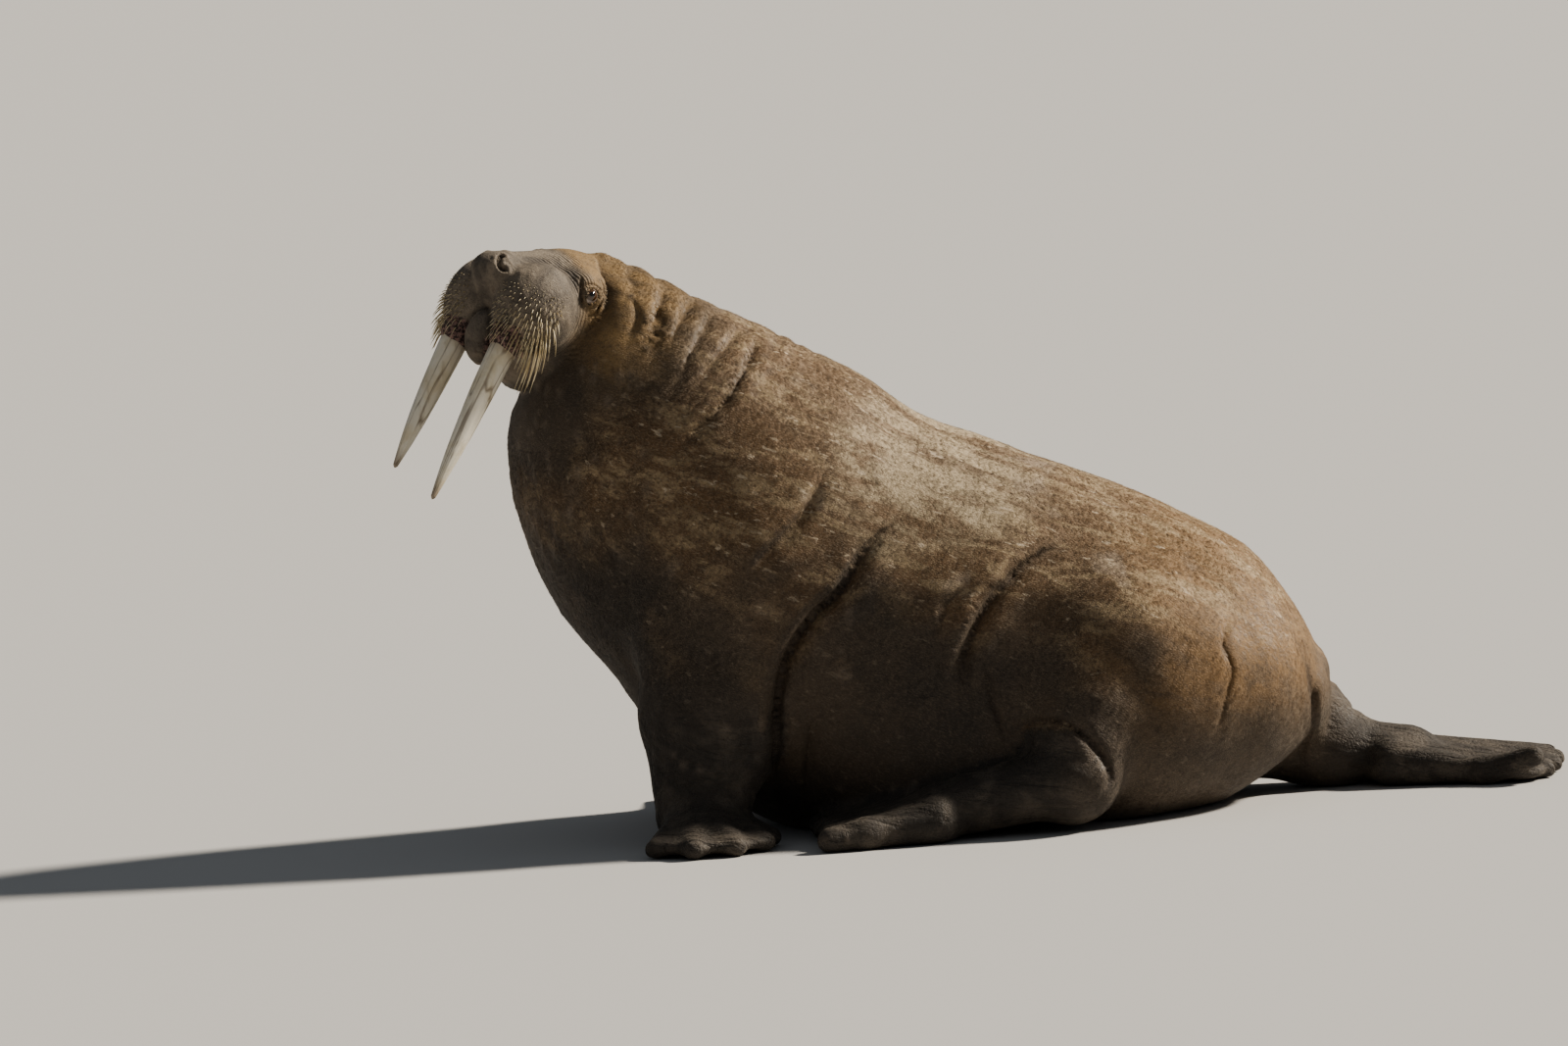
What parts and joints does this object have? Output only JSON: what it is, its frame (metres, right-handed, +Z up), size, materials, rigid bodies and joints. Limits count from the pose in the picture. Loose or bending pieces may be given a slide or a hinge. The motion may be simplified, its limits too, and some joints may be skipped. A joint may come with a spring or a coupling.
{
  "type": "walrus",
  "caption": "Life-size still model of a bull walrus sitting up on its fore flippers, head raised and turned to its left, tusks and whisker pads forward, hind flippers on the floor.",
  "frame": {"origin": "middle of the bounding box on the floor", "axes": "+Z up. The walrus faces -X, its left side faces -Y, and its length from tusk tips to hind flipper tips lies along X"},
  "size_m": [2.9461, 1.5196, 1.5153],
  "materials": {
    "brown_skin": "short matte hair over thick creased skin",
    "grey_skin": "matte, finely wrinkled",
    "dark_skin": "matte, bare and creased",
    "ivory": "satin, with long cracks and stains",
    "eye": "wet gloss"
  },
  "bodies": {
    "root": {"head": "grey_skin", "muzzle_left": "grey_skin", "muzzle_right": "grey_skin", "nose": "grey_skin", "lower_jaw": "grey_skin", "eye_left": "eye", "eye_right": "eye", "tusk_left": "ivory", "tusk_right": "ivory", "neck": "brown_skin", "chest": "brown_skin", "belly": "brown_skin", "rump": "brown_skin", "fore_flipper_left": "dark_skin", "fore_flipper_right": "dark_skin", "hind_flipper_left": "dark_skin", "hind_flipper_right": "dark_skin", "tail": "dark_skin"}
  },
  "joints": []
}
